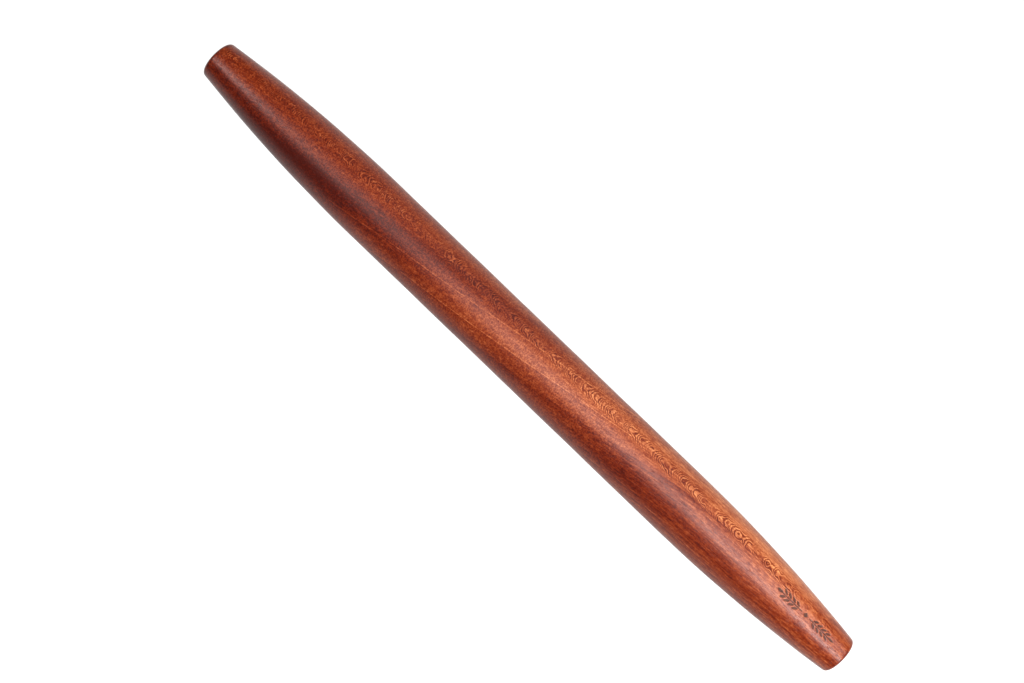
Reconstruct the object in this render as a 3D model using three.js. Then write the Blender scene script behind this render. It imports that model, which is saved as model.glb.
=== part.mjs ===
// Tapered rolling pin, of the French style: one length of hardwood, turned between centres in one piece.
// Its middle is a plain cylinder. From there each half narrows on one long arc, which leaves the cylinder
// without a step, down to a flat end face whose edge is rounded over for the palm.
//
// The pin lies on its side along X. The origin is on the turning axis at mid-length, and +Z is up.
import * as THREE from "three";

// Driving dimensions, in millimetres.
const LENGTH = 400;
const BODY_RADIUS = 16.35; // the cylinder in the middle
const BODY_LENGTH = 196; // how much of the length is that cylinder
const END_RADIUS = 9.6; // where the taper would reach the plane of the end face
const EDGE_ROUND = 1.7; // the round-over between the taper and the end face

// How finely it is faceted. A round pin rolls away at a touch, so it gets few enough sides to lie still
// on one.
const SIDES = 20;
const TAPER_STEPS = 8;
const EDGE_STEPS = 5;

const WOOD = { color: 0x8f4428, roughness: 0.45, metalness: 0 };

// Points along a circle's arc in the plane of the outline, where x is the distance from the turning axis and
// y the distance along it. The first point is left out, because the stretch before the arc ends there.
function arcPoints({ fromAxis, along, radius }, startAngle, endAngle, steps) {
  const points = [];
  for (let step = 1; step <= steps; step += 1) {
    const angle = startAngle + ((endAngle - startAngle) * step) / steps;
    points.push(
      new THREE.Vector2(fromAxis + radius * Math.cos(angle), along + radius * Math.sin(angle)),
    );
  }
  return points;
}

// The taper's circle is tangent to the cylinder where the cylinder ends, and its centre lies beyond the axis.
function taperCircle() {
  const run = (LENGTH - BODY_LENGTH) / 2;
  const drop = BODY_RADIUS - END_RADIUS;
  const radius = (run ** 2 + drop ** 2) / (2 * drop);
  return { fromAxis: BODY_RADIUS - radius, along: BODY_LENGTH / 2, radius };
}

// The round-over's circle touches the taper's circle from inside, and touches the plane of the end face.
function edgeCircle(taper) {
  const along = LENGTH / 2 - EDGE_ROUND;
  const outward = Math.sqrt((taper.radius - EDGE_ROUND) ** 2 - (along - taper.along) ** 2);
  return { fromAxis: taper.fromAxis + outward, along, radius: EDGE_ROUND };
}

// One half of the outline, from the end of the cylinder out to the middle of the end face.
function halfOutline() {
  const taper = taperCircle();
  const edge = edgeCircle(taper);
  const meeting = Math.atan2(edge.along - taper.along, edge.fromAxis - taper.fromAxis);
  return [
    new THREE.Vector2(BODY_RADIUS, BODY_LENGTH / 2),
    ...arcPoints(taper, 0, meeting, TAPER_STEPS),
    ...arcPoints(edge, meeting, Math.PI / 2, EDGE_STEPS),
    new THREE.Vector2(0, LENGTH / 2),
  ];
}

// Both halves are alike. The whole outline runs from the middle of one end face to the middle of the other.
function outline() {
  const farHalf = halfOutline();
  const nearHalf = farHalf.map((point) => new THREE.Vector2(point.x, -point.y)).reverse();
  return [...nearHalf, ...farHalf];
}

// The facets start half a facet round, so that the pin lies on a facet and not on an edge between two. Each
// facet touches the turned surface along its middle, so the pin measures its true diameter across the flats.
function rollingPin() {
  const geometry = new THREE.LatheGeometry(outline(), SIDES, Math.PI / SIDES);
  const acrossCorners = 1 / Math.cos(Math.PI / SIDES);
  geometry.scale(acrossCorners, 1, acrossCorners);
  const mesh = new THREE.Mesh(geometry, new THREE.MeshStandardMaterial(WOOD));
  mesh.name = "rolling_pin";
  mesh.rotation.z = -Math.PI / 2; // a lathe geometry turns about Y, and the pin lies along X
  return mesh;
}

const part = new THREE.Group();
part.add(rollingPin());

export default part;
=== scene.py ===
import math

import bpy
import numpy as np
from mathutils import Matrix, Vector


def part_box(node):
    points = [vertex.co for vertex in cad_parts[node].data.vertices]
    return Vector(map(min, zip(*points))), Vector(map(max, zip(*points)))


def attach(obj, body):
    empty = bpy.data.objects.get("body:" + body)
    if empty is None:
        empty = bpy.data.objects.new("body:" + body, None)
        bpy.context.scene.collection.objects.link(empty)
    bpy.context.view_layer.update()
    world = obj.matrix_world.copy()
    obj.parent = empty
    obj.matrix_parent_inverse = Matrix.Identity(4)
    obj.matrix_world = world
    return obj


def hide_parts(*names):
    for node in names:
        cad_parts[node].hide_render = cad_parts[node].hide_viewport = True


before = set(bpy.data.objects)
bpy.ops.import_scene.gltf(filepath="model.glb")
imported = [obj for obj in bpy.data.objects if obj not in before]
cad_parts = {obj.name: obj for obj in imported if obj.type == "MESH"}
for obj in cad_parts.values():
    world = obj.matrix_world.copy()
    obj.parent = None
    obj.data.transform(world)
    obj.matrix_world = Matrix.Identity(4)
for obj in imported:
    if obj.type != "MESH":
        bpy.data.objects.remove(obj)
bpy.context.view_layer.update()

# The pin lies along X with its axis through the origin. Its length and thickness come from the frame, and the
# rest of its outline is the one that the CAD solid has. Metres.
PIN = "rolling_pin"
LOW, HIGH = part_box(PIN)
HALF_LENGTH = HIGH.x
BODY_RADIUS = HIGH.z
BODY_HALF_LENGTH = 0.098  # the plain cylinder in the middle
END_RADIUS = 0.0096  # where the taper would reach the plane of the end face
EDGE_ROUND = 0.0017

MM = 0.001

# The burnt ornament sits near the +X end, a little round from the top towards +Y. Its half sizes are in mm.
MARK_MIDDLE = HALF_LENGTH - 27.2 * MM
MARK_ANGLE = math.radians(10.9)
MARK_HALF_LENGTH = 18.0
MARK_HALF_WIDTH = 2.3
MARK_REACH = (MARK_HALF_LENGTH + 1) * MM
BURN_DEPTH = 0.12 * MM

SANDING_WAVE = 0.02 * MM  # height of each of the two waves that sanding left on the sides

# How finely the surface is meshed: the fine steps are for the ornament.
COARSE_STEP = 2.5 * MM
COARSE_TURN = math.radians(2.0)
FINE_STEP = 0.2 * MM
FINE_TURN = math.radians(0.7)
EDGE_STEPS = 12
END_FACE_RINGS = (0.9, 0.75, 0.6, 0.45, 0.3, 0.15)


# The turned shape


def taper_circle():
    """The taper's arc, tangent to the cylinder: its centre (out from the axis, along it) and its radius."""
    run = HALF_LENGTH - BODY_HALF_LENGTH
    drop = BODY_RADIUS - END_RADIUS
    radius = (run**2 + drop**2) / (2 * drop)
    return BODY_RADIUS - radius, BODY_HALF_LENGTH, radius


def edge_circle():
    """The round-over, which touches the taper's circle from inside, and the plane of the end face."""
    centre, start, radius = taper_circle()
    along = HALF_LENGTH - EDGE_ROUND
    outward = math.sqrt((radius - EDGE_ROUND) ** 2 - (along - start) ** 2)
    return centre + outward, along, EDGE_ROUND


def radius_at(along):
    """The pin's radius on the cylinder and the tapers."""
    centre, start, radius = taper_circle()
    beyond = np.maximum(np.abs(along) - start, 0.0)
    return centre + np.sqrt(radius**2 - beyond**2)


def stations(start, end, fine_from, fine_to, coarse, fine):
    """Places along the axis, or angles round it: a stretch of fine steps between coarse ones."""
    before = np.linspace(start, fine_from, round((fine_from - start) / coarse) + 1)[:-1]
    close = np.linspace(fine_from, fine_to, round((fine_to - fine_from) / fine) + 1)[:-1]
    after = np.linspace(fine_to, end, round((end - fine_to) / coarse) + 1)[:-1]
    return np.concatenate([before, close, after])


def outline():
    """Rows of (place along the axis, radius), from one end face to the other."""
    centre, start, _ = taper_circle()
    edge_centre, edge_start, edge_radius = edge_circle()
    meeting = math.atan2(edge_start - start, edge_centre - centre)
    turn = np.linspace(meeting, math.pi / 2, EDGE_STEPS)
    edge_along = edge_start + edge_radius * np.sin(turn)
    edge_out = edge_centre + edge_radius * np.cos(turn)
    edge = np.column_stack([edge_along, edge_out])
    face = [(HALF_LENGTH, edge_centre * share) for share in END_FACE_RINGS]
    end = np.vstack([edge, face])
    along = stations(
        -end[0, 0], end[0, 0], MARK_MIDDLE - MARK_REACH, MARK_MIDDLE + MARK_REACH, COARSE_STEP, FINE_STEP
    )
    body = np.column_stack([along, radius_at(along)])
    return np.vstack([end[::-1] * (-1, 1), body[1:], end])


def soft(reach):
    """1 inside a shape, 0 outside it, where reach is 1 on its edge."""
    return np.clip((1.12 - reach) / 0.24, 0.0, 1.0)


def ellipse(u, v, middle, half_length, half_width, lean):
    """Reach of an ellipse whose long axis leans away from the u axis."""
    u, v = u - middle[0], v - middle[1]
    along = u * math.cos(lean) + v * math.sin(lean)
    aside = v * math.cos(lean) - u * math.sin(lean)
    return np.hypot(along / half_length, aside / half_width)


def ornament(u, v):
    """Two wheat ears that point away from a lozenge. u runs along the pin and v round it, in millimetres."""
    u, v = np.abs(u), np.abs(v)
    pitch, first, pairs = 2.6, 4.6, 4
    lozenge = soft((u + v) / 1.3)
    stem = soft(v / 0.24) * (u > 2.4) * (u < 15.5)
    tip = soft(ellipse(u, v, (16.3, 0.0), 1.65, 0.62, 0.0))
    place = np.mod(u - first, pitch)
    grain = soft(ellipse(place, v, (pitch / 2, 1.3), 1.45, 0.55, math.radians(32)))
    grain = grain * (u > first) * (u < first + pairs * pitch)
    return np.maximum.reduce([lozenge, stem, tip, grain])


def pin_points(rows, angles):
    """The surface's points as a grid, and how deeply the ornament is burnt at each."""
    x, radius = rows[:, :1], rows[:, 1:]
    burn = ornament((x - MARK_MIDDLE) / MM, (angles - MARK_ANGLE) * radius_at(MARK_MIDDLE) / MM)
    burn = burn * (np.abs(x - MARK_MIDDLE) < MARK_REACH)
    wide_waves = np.sin(x / (9 * MM) + 1.1 * np.cos(angles))
    short_waves = np.sin(x / (5.3 * MM) + 2 * angles)
    sanding = SANDING_WAVE * (wide_waves + short_waves)
    on_side = np.abs(x) < HALF_LENGTH - 2 * EDGE_ROUND
    radius = radius + on_side * sanding - BURN_DEPTH * burn
    points = np.stack([x + 0 * radius, radius * np.sin(angles), radius * np.cos(angles)], axis=2)
    return points.reshape(-1, 3), burn.reshape(-1)


def pin_mesh():
    """The closed surface, with the depth of the burn kept at each point."""
    rows = outline()
    sector = MARK_HALF_WIDTH * MM / radius_at(MARK_MIDDLE)
    angles = stations(-math.pi, math.pi, MARK_ANGLE - sector, MARK_ANGLE + sector, COARSE_TURN, FINE_TURN)
    points, burn = pin_points(rows, angles)
    sides = len(angles)
    faces = []
    for row in range(len(rows) - 1):
        for side in range(sides):
            a, b = row * sides + side, row * sides + (side + 1) % sides
            faces.append((a, b, b + sides, a + sides))
    top = (len(rows) - 1) * sides
    for side in range(sides):
        after = (side + 1) % sides
        faces.append((len(points), after, side))
        faces.append((len(points) + 1, top + side, top + after))
    points = np.vstack([points, (-HALF_LENGTH, 0, 0), (HALF_LENGTH, 0, 0)])
    mesh = bpy.data.meshes.new("turned_pin")
    mesh.from_pydata(points.tolist(), [], faces)
    mesh.validate()
    mesh.polygons.foreach_set("use_smooth", [True] * len(mesh.polygons))
    depth = mesh.attributes.new("burn", "FLOAT", "POINT")
    depth.data.foreach_set("value", np.append(burn, (0.0, 0.0)))
    return mesh


# Materials


class Shader:
    """Adds nodes to one material. A node's input can be a number, a tuple or another node's output."""

    def __init__(self, name):
        self.material = bpy.data.materials.new(name)
        self.material.use_nodes = True
        self.tree = self.material.node_tree
        self.tree.nodes.clear()

    def node(self, kind, inputs, output=0, **settings):
        made = self.tree.nodes.new(kind)
        for name, value in settings.items():
            setattr(made, name, value)
        for socket, value in inputs.items():
            if isinstance(value, bpy.types.NodeSocket):
                self.tree.links.new(value, made.inputs[socket])
            else:
                made.inputs[socket].default_value = value
        return made.outputs[output]

    def math(self, operation, *values):
        return self.node("ShaderNodeMath", dict(enumerate(values)), operation=operation)

    def total(self, *terms):
        result = terms[0]
        for term in terms[1:]:
            result = self.math("ADD", result, term)
        return result

    def product(self, *factors):
        result = factors[0]
        for factor in factors[1:]:
            result = self.math("MULTIPLY", result, factor)
        return result

    def step(self, value, start, end, low=0.0, high=1.0):
        """Eases from low at start to high at end."""
        inputs = {"Value": value, "From Min": start, "From Max": end, "To Min": low, "To Max": high}
        return self.node("ShaderNodeMapRange", inputs, interpolation_type="SMOOTHSTEP")

    def hump(self, value, rise, top, fall, end):
        """0, then 1 between top and fall, then 0 again."""
        return self.product(self.step(value, rise, top), self.step(value, end, fall))

    def millimetres(self):
        """The place on the object, in its own frame."""
        place = self.node("ShaderNodeTexCoord", {}, output=3)
        place = self.node("ShaderNodeVectorMath", {0: place, 3: 1 / MM}, operation="SCALE")
        return self.node("ShaderNodeSeparateXYZ", {0: place}).node.outputs

    def noise(self, axes, sizes, detail=2.0, seed=0.0):
        """Noise about 0, with lumps of the given size along each axis."""
        scaled = {i: self.math("MULTIPLY", axis, 1 / size) for i, (axis, size) in enumerate(zip(axes, sizes))}
        place = self.node("ShaderNodeCombineXYZ", scaled)
        inputs = {"Vector": place, "W": seed, "Scale": 1.0, "Detail": detail}
        value = self.node("ShaderNodeTexNoise", inputs, noise_dimensions="4D")
        return self.math("SUBTRACT", value, 0.5)

    def ramp(self, value, *stops):
        made = self.node("ShaderNodeValToRGB", {0: value})
        elements = made.node.color_ramp.elements
        while len(elements) < len(stops):
            elements.new(0.5)
        for element, (position, colour) in zip(elements, stops):
            element.position = position
            element.color = (*colour, 1.0)
        return made

    def blend(self, amount, a, b):
        return self.node("ShaderNodeMix", {0: amount, 6: a, 7: b}, output=2, data_type="RGBA")

    def finish(self, surface):
        out = self.tree.nodes.new("ShaderNodeOutputMaterial")
        self.tree.links.new(surface, out.inputs["Surface"])
        return self.material


# The wood's layers cross the pin at a slant, and their lines climb towards +Y along it by this much. Past the
# bend, near the +X end, they run almost straight along it.
SLANT = 0.158
END_SLANT = 0.03
BEND_AT = 100.0
BEND_LENGTH = 30.0


def grain_axes(s, place):
    """Axes along the fibres and across them, in the plane of the layers' slant."""
    x, y, z = place
    along = s.total(x, s.product(y, SLANT))
    slanted = s.math("SMOOTH_MIN", x, BEND_AT, BEND_LENGTH)
    climb = s.total(s.product(slanted, SLANT - END_SLANT), s.product(x, END_SLANT))
    wander = s.product(s.noise(place, (110.0, 25.0, 25.0)), 5.0)
    across = s.total(y, s.product(climb, -1.0), wander)
    return along, across, z


def growth_rings(s, across, z):
    """How many rings lie between line_at and this place, counted towards -Y. They get thinner that way."""
    line_at, spread, least_depth = 16.9, 56.3, 3.0
    depth = s.total(across, s.product(z, 0.1), spread - line_at)
    depth = s.math("MAXIMUM", depth, least_depth)
    return s.product(s.math("LOGARITHM", s.product(depth, 1 / spread), math.e), -5.0)


def ring_tone(s, place, ring):
    """Rings lighten towards their end, a few have a clear light line there, and broad bands lie over them."""
    inside = s.math("FRACT", ring)
    strength = s.node("ShaderNodeTexWhiteNoise", {"W": s.math("FLOOR", ring)}, noise_dimensions="1D")
    fade = s.product(s.step(inside, 0.0, 0.7, -0.06, 0.02), s.total(strength, 0.2))
    patches = s.step(s.noise(place, (30.0, 8.0, 8.0), seed=1.0), -0.12, 0.12, 0.5, 1.0)
    sharp_part = s.hump(place[0], -125.0, -95.0, 45.0, 100.0)
    sharp_rings = s.hump(ring, -0.5, 0.9, 1.6, 3.3)
    sharp = s.product(patches, sharp_part, sharp_rings)
    light_line = s.product(s.hump(inside, 0.915, 0.95, 0.975, 1.0), s.total(sharp, 0.12), 0.19)
    dark_line = s.product(s.step(inside, 0.04, 0.0), sharp, -0.08)
    dark_band = s.product(s.hump(ring, -0.45, 0.05, 0.4, 1.15), s.step(place[1], 9.0, 14.5, -0.15, -0.045))
    pale_band = s.product(s.hump(ring, 0.9, 1.3, 2.1, 2.7), 0.078)
    deepest = s.hump(place[0], 25.0, 70.0, 125.0, 165.0)
    deep_band = s.product(s.hump(ring, 2.7, 3.3, 4.6, 7.5), s.total(s.product(deepest, -0.12), -0.04))
    return s.total(fade, light_line, dark_line, dark_band, pale_band, deep_band)


def broad_tone_and_painted_light(s, place):
    """Darker towards the -X end, most of all on its -Y side, and palest on the +Y side near the +X end. The
    darker -Y side is partly the wood and partly painted shade. The pale patch near the +X end is partly the
    wood and partly a painted sheen, and the slight lift on the -Y side there is a painted highlight.
    """
    x, y, _ = place
    lengthways = s.step(x, -150.0, 60.0)
    side = s.step(y, -12.0, 12.0)
    clouds = s.noise(place, (45.0, 7.0, 7.0), seed=2.0)
    return s.total(
        0.2,
        s.product(lengthways, 0.186),
        # Partly the wood, partly painted shade: the -Y side darker than the +Y side.
        s.product(side, 0.185),
        # Partly the wood's paler colour, partly a painted sheen: the +Y side near the +X end made lighter.
        s.product(s.hump(x, 90.0, 140.0, 150.0, 210.0), side, 0.16),
        # Painted highlight: the -Y side near the +X end made a little lighter.
        s.product(s.step(x, 110.0, 170.0), s.step(y, 12.0, -12.0), 0.03),
        # Partly the wood, partly painted shade: the -Y side near the -X end darker still.
        s.product(s.step(x, -60.0, -130.0), s.step(y, 0.0, -8.0), -0.065),
        s.product(clouds, 0.22),
    )


def loop_figure(s, place):
    """Nested loops, part way round to +Y, where the surface runs level with thin slanting layers."""
    x, y, z = place
    turn, slant, thickness = math.radians(29), 0.10, 0.17
    off_centre = s.total(s.product(y, math.cos(turn)), s.product(z, -math.sin(turn)))
    height = s.total(s.product(x, slant), s.product(y, math.sin(turn)), s.product(z, math.cos(turn)))
    waves = s.product(s.noise(place, (6.5, 16.0, 16.0), detail=1.0, seed=3.0), 1.5)
    crumple = s.product(s.noise(place, (1.6, 1.6, 1.6), detail=1.0, seed=15.0), 0.22)
    phase = s.product(s.total(height, waves, crumple), 2 * math.pi / thickness)
    arcs = s.step(s.math("COSINE", phase), -0.6, 0.9, -0.24, 0.22)
    ragged = s.product(s.noise(place, (10.0, 8.0, 8.0), seed=14.0), 3.0)
    band = s.step(s.total(s.math("ABSOLUTE", off_centre), ragged), 3.6, 1.8)
    clusters = s.step(s.noise(place, (8.0, 8.0, 8.0), seed=4.0), -0.12, 0.06, 0.25, 1.0)
    strength = s.product(s.step(x, -60.0, 80.0, 0.7, 1.1), s.step(x, 172.0, 150.0, 0.25, 1.0))
    return s.product(band, clusters, arcs, strength)


def fine_tone(s, place, grain):
    """Worm-like in the middle and streaky along the fibres towards +X. The pores are returned too."""
    x, _, _ = place
    streaky = s.step(x, 10.0, 80.0, 0.35, 1.0)
    worms = s.math("ABSOLUTE", s.noise(place, (0.95, 1.6, 1.6), detail=1.0, seed=5.0))
    worms = s.product(s.step(worms, 0.10, 0.0, -0.10, 0.14), s.step(x, 30.0, 90.0, 1.0, 0.4))
    streaks = s.product(s.noise(grain, (14.0, 0.7, 0.7), detail=3.0, seed=6.0), streaky, 0.82)
    flecks = s.noise(grain, (2.4, 0.8, 0.8), detail=2.0, seed=7.0)
    flecks = s.product(flecks, s.step(x, 10.0, 80.0, 0.5, 0.68))
    pores = s.step(s.noise(grain, (3.0, 0.3, 0.3), detail=1.0, seed=8.0), 0.10, 0.2)
    return s.total(worms, streaks, flecks, s.product(pores, -0.12)), pores


def end_grain_and_edge_shade(s, place):
    """Bare end grain drinks more oil, so the end faces are darker. The rounded edges are darker too, in
    uneven patches: partly the end grain that begins there and partly painted shade.
    """
    x, _, _ = place
    half = HALF_LENGTH / MM
    face = s.step(s.math("ABSOLUTE", x), half - 0.9, half - 0.1)
    # Painted shade, partly end grain: the rounded edges are darkened in uneven patches.
    edge = s.step(s.math("ABSOLUTE", x), half - 2.4, half - 1.2)
    edge_grain_and_shade_patches = s.step(s.noise(place, (1.5, 2.0, 2.0), seed=9.0), -0.15, 0.1, 0.3, 1.0)
    return s.total(s.product(face, -0.12), s.product(edge, edge_grain_and_shade_patches, -0.10))


CHAR_COLOUR = (0.045, 0.014, 0.009, 1.0)
PORE_DEPTH = 0.12 * MM
OILED_ROUGHNESS = 0.38


def hardwood():
    """Red-brown figured wood, oiled and sanded, with the ornament charred into it."""
    s = Shader("hardwood")
    place = s.millimetres()
    grain = grain_axes(s, place)
    ring = growth_rings(s, grain[1], grain[2])
    fine, pores = fine_tone(s, place, grain)
    tone = s.total(
        broad_tone_and_painted_light(s, place),
        ring_tone(s, place, ring),
        loop_figure(s, place),
        fine,
        end_grain_and_edge_shade(s, place),
    )
    colour = s.ramp(
        s.product(tone, 0.75),
        (0.0, (0.048, 0.004, 0.0015)),
        (0.15, (0.092, 0.010, 0.003)),
        (0.3, (0.152, 0.024, 0.006)),
        (0.45, (0.240, 0.060, 0.020)),
        (0.6, (0.350, 0.120, 0.047)),
        (0.75, (0.470, 0.196, 0.081)),
        (1.0, (0.640, 0.340, 0.152)),
    )
    burn = s.node("ShaderNodeAttribute", {}, output=2, attribute_name="burn")
    char = s.product(burn, s.noise(place, (0.8, 0.8, 0.8), seed=10.0))
    colour = s.blend(s.total(s.product(burn, 0.88), char), colour, CHAR_COLOUR)
    height = s.total(
        s.product(pores, -1.0),
        s.product(s.noise(grain, (8.0, 0.5, 0.5), detail=3.0, seed=11.0), 0.8),
        s.product(s.noise(place, (0.7, 5.0, 5.0), seed=12.0), 1.1),
    )
    bump = s.node("ShaderNodeBump", {"Strength": 0.3, "Distance": PORE_DEPTH, "Height": height})
    dull = s.noise(place, (25.0, 6.0, 6.0), detail=3.0, seed=13.0)
    handled = s.step(s.math("ABSOLUTE", place[0]), 145.0, 185.0, 0.0, -0.08)
    roughness = s.total(
        OILED_ROUGHNESS,
        handled,
        s.product(dull, 0.08),
        s.product(pores, 0.12),
        s.product(burn, 0.25),
    )
    surface = s.node(
        "ShaderNodeBsdfPrincipled",
        {
            "Base Color": colour,
            "Roughness": roughness,
            "IOR": 1.5,
            "Specular IOR Level": 0.33,
            "Normal": bump,
        },
    )
    return s.finish(surface)


FLOOR_GLOW = 0.73


def floor_paint():
    """Nearly white, by its own glow, so that the lights leave only a faint shadow on it."""
    s = Shader("studio_floor")
    surface = s.node(
        "ShaderNodeBsdfPrincipled",
        {
            "Base Color": (0.16, 0.16, 0.16, 1.0),
            "Roughness": 0.9,
            "Emission Color": (1, 1, 1, 1),
            "Emission Strength": FLOOR_GLOW,
        },
    )
    return s.finish(surface)


# Pieces


def make_pin():
    mesh = pin_mesh()
    mesh.materials.append(hardwood())
    pin = bpy.data.objects.new("turned_pin", mesh)
    bpy.context.collection.objects.link(pin)
    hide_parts(PIN)
    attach(pin, "root")
    return pin


# The studio

BACKDROP_LIGHT = 0.05  # the light that it gives
BACKDROP_SEEN = 0.74  # how bright the camera sees it


def make_floor():
    size = 6.0
    mesh = bpy.data.meshes.new("floor")
    corners = [(-size, -size, LOW.z), (size, -size, LOW.z), (size, size, LOW.z), (-size, size, LOW.z)]
    mesh.from_pydata(corners, [], [(0, 1, 2, 3)])
    mesh.materials.append(floor_paint())
    floor = bpy.data.objects.new("floor", mesh)
    bpy.context.collection.objects.link(floor)


def make_softbox(name, place, target, size, power, turn=0.0):
    """A rectangular light that faces the target. It can be turned, in degrees, about the line to it."""
    data = bpy.data.lights.new(name, "AREA")
    data.shape = "RECTANGLE"
    data.size, data.size_y = size
    data.energy = power
    light = bpy.data.objects.new(name, data)
    aim = (Vector(target) - Vector(place)).to_track_quat("-Z", "Y").to_matrix().to_4x4()
    light.matrix_world = Matrix.Translation(place) @ aim @ Matrix.Rotation(math.radians(turn), 4, "Z")
    bpy.context.collection.objects.link(light)


def make_world():
    """A pale backdrop that gives the pin only a little light of its own."""
    world = bpy.data.worlds.new("studio")
    world.use_nodes = True
    tree = world.node_tree
    seen = tree.nodes.new("ShaderNodeLightPath")
    strength = tree.nodes.new("ShaderNodeMapRange")
    strength.inputs["To Min"].default_value = BACKDROP_LIGHT
    strength.inputs["To Max"].default_value = BACKDROP_SEEN
    tree.links.new(seen.outputs["Is Camera Ray"], strength.inputs["Value"])
    tree.links.new(strength.outputs["Result"], tree.nodes["Background"].inputs["Strength"])
    tree.nodes["Background"].inputs["Color"].default_value = (1, 1, 1, 1)
    bpy.context.scene.world = world


def make_camera():
    """Over the pin, looking almost straight down, and turned so that the pin crosses the frame."""
    place = Vector((0.0053, -0.0280, 0.6608))
    target = Vector((-0.00923, 0.00008, 0.0))
    roll = math.radians(43.92)
    data = bpy.data.cameras.new("camera")
    data.lens = 50.1
    data.sensor_width = 36.0
    camera = bpy.data.objects.new("camera", data)
    forward = (target - place).normalized()
    right = Vector((math.cos(roll), math.sin(roll), 0.0))
    right = (right - forward * right.dot(forward)).normalized()
    up = right.cross(forward)
    turn = Matrix((right, up, -forward)).transposed()
    camera.matrix_world = Matrix.Translation(place) @ turn.to_4x4()
    bpy.context.collection.objects.link(camera)
    bpy.context.scene.camera = camera


make_camera()
make_world()
make_softbox("strip", (0.0, -0.02, 1.3), (0.0, -0.02, 0), size=(2.6, 0.9), power=20.0, turn=22)
make_softbox("key", (0.66, 0.58, 1.25), (0.14, 0, 0), size=(0.5, 1.3), power=11.5)
make_softbox("side_fill", (0.1, 1.3, 0.8), (0, 0, 0), size=(0.8, 0.8), power=3.4)
make_softbox("right_end_light", (0.97, -0.25, 1.25), (0.19, 0, 0), size=(0.4, 1.7), power=31.0)
make_softbox("left_end_light", (-0.93, -0.4, 1.25), (-0.19, 0, 0), size=(0.35, 0.6), power=4.0)
make_floor()
make_pin()
view = bpy.context.scene.view_settings
view.view_transform = "Standard"
view.exposure = 0.25
view.gamma = 0.85
